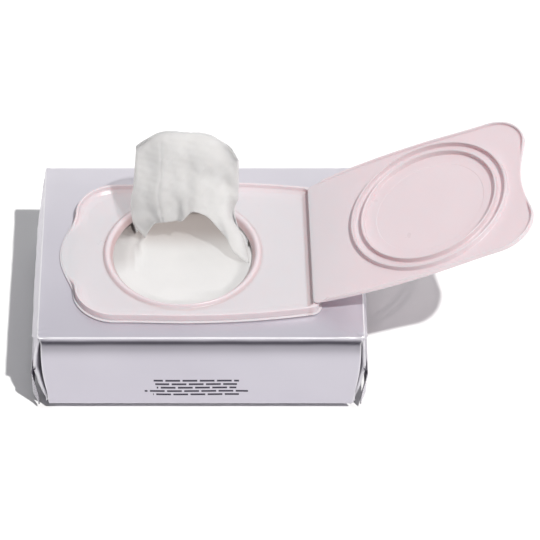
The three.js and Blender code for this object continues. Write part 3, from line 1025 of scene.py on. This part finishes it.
def wipes_block():
    """The folded wipes, whose top layer shows through the opening."""
    low, high = STACK_BOX
    # Inset along X, inset along Y, height. Between the layers the sides stand in a little.
    sections = [(9, 6, low[2]), (2, 1.4, low[2] + 2)]
    for i, z in enumerate(np.linspace(low[2] + 3, high[2] - 1.2, 46)):
        groove = 0.5 * (i % 2)
        sections.append((groove, groove, z))
    sections += [(0.4, 0.4, high[2] - 0.6), (1.2, 1.2, high[2] - 0.15), (2, 2, high[2])]
    angle = np.linspace(0, 2 * math.pi, 320, endpoint=False)
    unit_x, unit_y = (np.sign(v) * np.abs(v) ** (2 / 7) for v in (np.cos(angle), np.sin(angle)))

    def block_ring(inset_x, inset_y, z, scale=1.0):
        x = (high[0] - inset_x) * unit_x * scale
        y = (high[1] - inset_y) * unit_y * scale
        return np.stack([x, y, np.full(len(x), z)], axis=1)

    rings = [block_ring(*section) for section in sections]
    for scale in np.linspace(0.97, 0.02, 70):
        ring = block_ring(2, 2, high[2], scale)
        ring[:, 2] += top_relief(ring)
        rings.append(ring)
    middle = rings[-1][:, 2].mean()
    points, faces = ring_surface(rings, [(0, 0, low[2]), (0, 0, middle)])
    piece = add_mesh("wipes_block", points, faces, CLOTH)
    # Painted shade at the back, under the pulled wipe, and a little darker on the back of the
    # fold.
    x, y = points[:, 0] - DISPENSER[0], points[:, 1] - DISPENSER[1]
    past_fold = smooth(0.3, -0.5, x - curve(FOLD_EDGE, y)) * smooth(-8, -2, y)
    set_attribute(piece, "painted_shade_and_darker_fold", np.maximum(smooth(6, 24, y), 0.35 * past_fold))
    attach(piece, "pack")
    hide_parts("wipes_stack")
    return piece


# ---- The pulled wipe -----------------------------------------------------------------------

# Lines across the wipe, each at a distance along it in millimetres, with places
# (share across from the left, x, y, z). It starts folded under the film, comes up at the
# back of the opening, goes over its crest and down to its free edge at the front.
WIPE_LINES = [
    (0, [(0, -40, 37, 48.0), (1, 24, 37, 48.0)]),
    (15, [(0, -40, 52, 48.0), (1, 24, 52, 48.0)]),
    (18, [(0, -40, 53.6, 49.3), (1, 24, 53.6, 49.3)]),
    (21, [(0, -40, 52, 50.6), (1, 24, 52, 50.6)]),
    (36, [(0, -38, 34, 50.6), (0.5, -9, 37, 50.6), (1, 24, 30, 50.6)]),
    (43, [(0, -33, 17, 50.8), (0.2, -27, 26, 50.8), (0.5, -9, 31.2, 50.8),
          (0.8, 11, 26, 50.8), (1, 23, 5, 50.8)]),
    (54, [(0, -34.5, 18, 60), (0.2, -28, 27, 62), (0.5, -9, 32, 63),
          (0.8, 10, 28, 62), (1, 17.5, 14, 60)]),
    (77, [(0, -33.5, 23, 80), (0.25, -26, 30, 84), (0.5, -9, 33, 86),
          (0.8, 8, 31, 84), (1, 18.6, 20.5, 79)]),
    (95, [(0, -32.2, 26, 97), (0.25, -22, 30.2, 101), (0.5, -9, 31.5, 103),
          (0.8, 8, 30, 99.5), (1, 18.5, 22.5, 90)]),
    (101, [(0, -32, 25, 101.5), (0.1, -27, 27, 104.5), (0.35, -13.6, 28.5, 108),
           (0.55, -3, 28.5, 106.6), (0.75, 7.5, 27, 104.3), (0.9, 14.8, 24.8, 100.3),
           (1, 18.4, 22, 94)]),
    (108, [(0, -32.1, 23.2, 94), (0.35, -13.6, 23.5, 103), (0.55, -3, 23, 101.6),
           (0.75, 7.5, 21.7, 98), (1, 18.5, 19.8, 85)]),
    (121, [(0, -32.4, 17.6, 85), (0.35, -13.7, 17.5, 90), (0.55, -3, 17, 89),
           (0.75, 7.3, 17, 86), (1, 18.3, 17.3, 73)]),
    (134, [(0, -34.9, 13.7, 71), (0.12, -29, 13.5, 76), (0.35, -13.8, 12, 77.5),
           (0.55, -4, 12, 80.5), (0.75, 7, 12, 78), (0.9, 13, 11.5, 71), (1, 16.2, 14.5, 59)]),
    (140, [(0, -33.9, 10.8, 60.8), (0.12, -27, 11.5, 67), (0.35, -13.8, 9.8, 70),
           (0.55, -4.3, 9.6, 75.5), (0.75, 6, 8, 72.5), (0.9, 13, 5, 65), (1, 21.3, 5.5, 55)]),
    (146, [(0, -28.6, 10.6, 50.4), (0.07, -26.3, 11, 56), (0.12, -24, 10, 61.2),
           (0.2, -20.5, 9.5, 63.5), (0.36, -13.8, 8.5, 65), (0.44, -9.8, 7.5, 66.2),
           (0.5, -7, 7.5, 70), (0.56, -4.5, 8, 72.4), (0.66, 1, 7, 71.5), (0.76, 5.5, 5, 68.5),
           (0.84, 10, 3, 62.5), (0.9, 12.8, 1.5, 59.5), (0.95, 16.2, -1.5, 53.7),
           (1, 24.2, -5.5, 49)]),
]

# The gap between the wipe's two plies, and the thickness of each, in millimetres; and the
# distances along it where it comes out from under the film and where it is wholly in the open.
PLY_GAP, PLY_THICKNESS = 0.9, 0.4
COMES_OUT, IN_OPEN = 42, 60


def wipe_surface(rows, columns):
    """The wipe's outer ply at distances along it and shares across it."""
    across = np.zeros((len(WIPE_LINES), len(columns), 3))
    for i, (_, places) in enumerate(WIPE_LINES):
        for k in range(3):
            across[i, :, k] = curve([(p[0], p[1 + k]) for p in places], columns)
    starts = [line[0] for line in WIPE_LINES]
    surface = np.zeros((len(rows), len(columns), 3))
    for j in range(len(columns)):
        for k in range(3):
            surface[:, j, k] = curve(list(zip(starts, across[:, j, k])), rows)
    return surface


def pleats(v, t):
    """How far soft folds move the wipe's surface in or out."""
    shown = smooth(COMES_OUT, IN_OPEN, t)
    lean = (t - 101) / 45
    soft = 0.5 * np.sin(2 * math.pi * (v * 2.6 + 0.10 * lean + 0.55))
    small = 0.28 * np.sin(2 * math.pi * (v * 5.7 - 0.16 * lean)) * smooth(100, 130, t)
    crease = -0.4 * np.exp(-(((v - 0.23 - 0.01 * lean) / 0.012) ** 2)) * smooth(98, 118, t)
    pocket = -1.1 * np.exp(-(((v - 0.40) / 0.05) ** 2)) * smooth(128, 143, t)
    lap = 0.7 * np.exp(-(((v - 0.47) / 0.05) ** 2)) * smooth(126, 143, t)
    return shown * (soft + small + crease + pocket + lap)


def pulled_wipe():
    """One wipe, folded in two along its left side, so that it shows as two plies."""
    rows = np.concatenate([np.linspace(0, 43, 34)[:-1], np.linspace(43, 146, 150)])
    half = np.concatenate([np.linspace(0, 0.03, 6), np.linspace(0.03, 1, 100)[1:]])
    columns = np.concatenate([-half[::-1][:-1], half])
    surface = wipe_surface(rows, np.abs(columns) * np.where(columns < 0, 0.985, 1))
    down = np.gradient(surface, axis=0)
    along = np.gradient(wipe_surface(rows, np.linspace(0, 1, 50)), axis=1).mean(axis=1)[:, None, :]
    normal = np.cross(down, np.broadcast_to(along, down.shape))
    normal /= np.linalg.norm(normal, axis=2)[:, :, None]
    v = np.abs(columns)[None, :]
    t = rows[:, None]
    inner = smooth(0.02, -0.02, columns)[None, :]
    crinkle = 0.16 * waves(surface, 8, 21) + 0.1 * waves(surface, 3.5, 22)
    move = pleats(v, t) + crinkle * smooth(COMES_OUT, IN_OPEN, t)
    move = move - inner * (PLY_GAP + 0.25 * np.sin(v * 9 + t / 17))
    surface = surface + normal * move[:, :, None]
    count = len(columns)
    faces = []
    for i in range(len(rows) - 1):
        for j in range(count - 1):
            a = i * count + j
            faces.append((a, a + 1, a + count + 1, a + count))
    piece = add_mesh("top_wipe", surface.reshape(-1, 3), faces, THIN_CLOTH)
    solid = piece.modifiers.new("thickness", "SOLIDIFY")
    solid.thickness = PLY_THICKNESS * MM
    solid.offset = 0
    apply_modifiers(piece)
    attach(piece, "pack")
    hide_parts("pulled_wipe")
    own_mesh(piece)
    return piece


# ---- Camera, light and floor -----------------------------------------------------------------

# The camera looks back at a point on the floor, from in front and above.
ELEVATION = math.radians(45.5)
LOOKS_AT = np.array([9.31, 38.73, 0]) * MM
CAMERA_DISTANCE = 1712.6 * MM

TOWARD_SUN = np.array([0.31, -0.38, 0.85])
TOWARD_BRIGHT_WALL = (-0.1, 0.68, 0.7)

# Half the floor's width, in millimetres.
FLOOR_REACH = 20000


def camera():
    data = bpy.data.cameras.new("camera")
    data.lens = 220
    data.sensor_width = 36
    data.shift_x = 0.0926
    data.clip_start = 0.1
    data.clip_end = 50
    made = bpy.data.objects.new("camera", data)
    back = np.array([0, -math.cos(ELEVATION), math.sin(ELEVATION)])
    made.location = LOOKS_AT + back * CAMERA_DISTANCE
    made.rotation_euler = (math.pi / 2 - ELEVATION, 0, 0)
    bpy.context.scene.collection.objects.link(made)
    bpy.context.scene.camera = made


def lights():
    """A sun, and a studio that is brighter towards one wall."""
    data = bpy.data.lights.new("key", "SUN")
    data.energy = 3.05
    data.angle = math.radians(1.4)
    data.color = (1.0, 0.985, 0.97)
    key = bpy.data.objects.new("key", data)
    x, y, z = TOWARD_SUN
    key.rotation_euler = (math.atan2(math.hypot(x, y), z), 0, math.atan2(x, -y))
    bpy.context.scene.collection.objects.link(key)
    world = bpy.data.worlds.new("studio")
    world.use_nodes = True
    tree = world.node_tree
    background = tree.nodes["Background"]
    coordinates = tree.nodes.new("ShaderNodeTexCoord")
    facing = tree.nodes.new("ShaderNodeVectorMath")
    facing.operation = "DOT_PRODUCT"
    facing.inputs[1].default_value = TOWARD_BRIGHT_WALL
    tree.links.new(coordinates.outputs["Generated"], facing.inputs[0])
    stops = [(0.0, (0.10, 0.10, 0.103)), (0.9, (0.6, 0.6, 0.615))]
    shades = ramp(tree.nodes.new, tree.links.new, facing.outputs["Value"], stops)
    tree.links.new(shades, background.inputs["Color"])
    bpy.context.scene.world = world
    bpy.context.scene.view_settings.view_transform = "Standard"


def floor():
    material, shader, node, link = principled("floor", Roughness=0.9)
    stops = [(0.3, (0.93, 0.93, 0.93)), (0.7, (0.95, 0.95, 0.95))]
    link(ramp(node, link, object_noise(node, link, 3, 2), stops), shader.inputs["Base Color"])
    signs = ((-1, -1), (1, -1), (1, 1), (-1, 1))
    corners = [(x * FLOOR_REACH, y * FLOOR_REACH, 0) for x, y in signs]
    piece = add_mesh("floor", corners, [(0, 1, 2, 3)], material)


camera()
lights()
floor()
dispenser_base()
flip_lid()
living_hinge()
film_pouch()
wipes_block()
pulled_wipe()
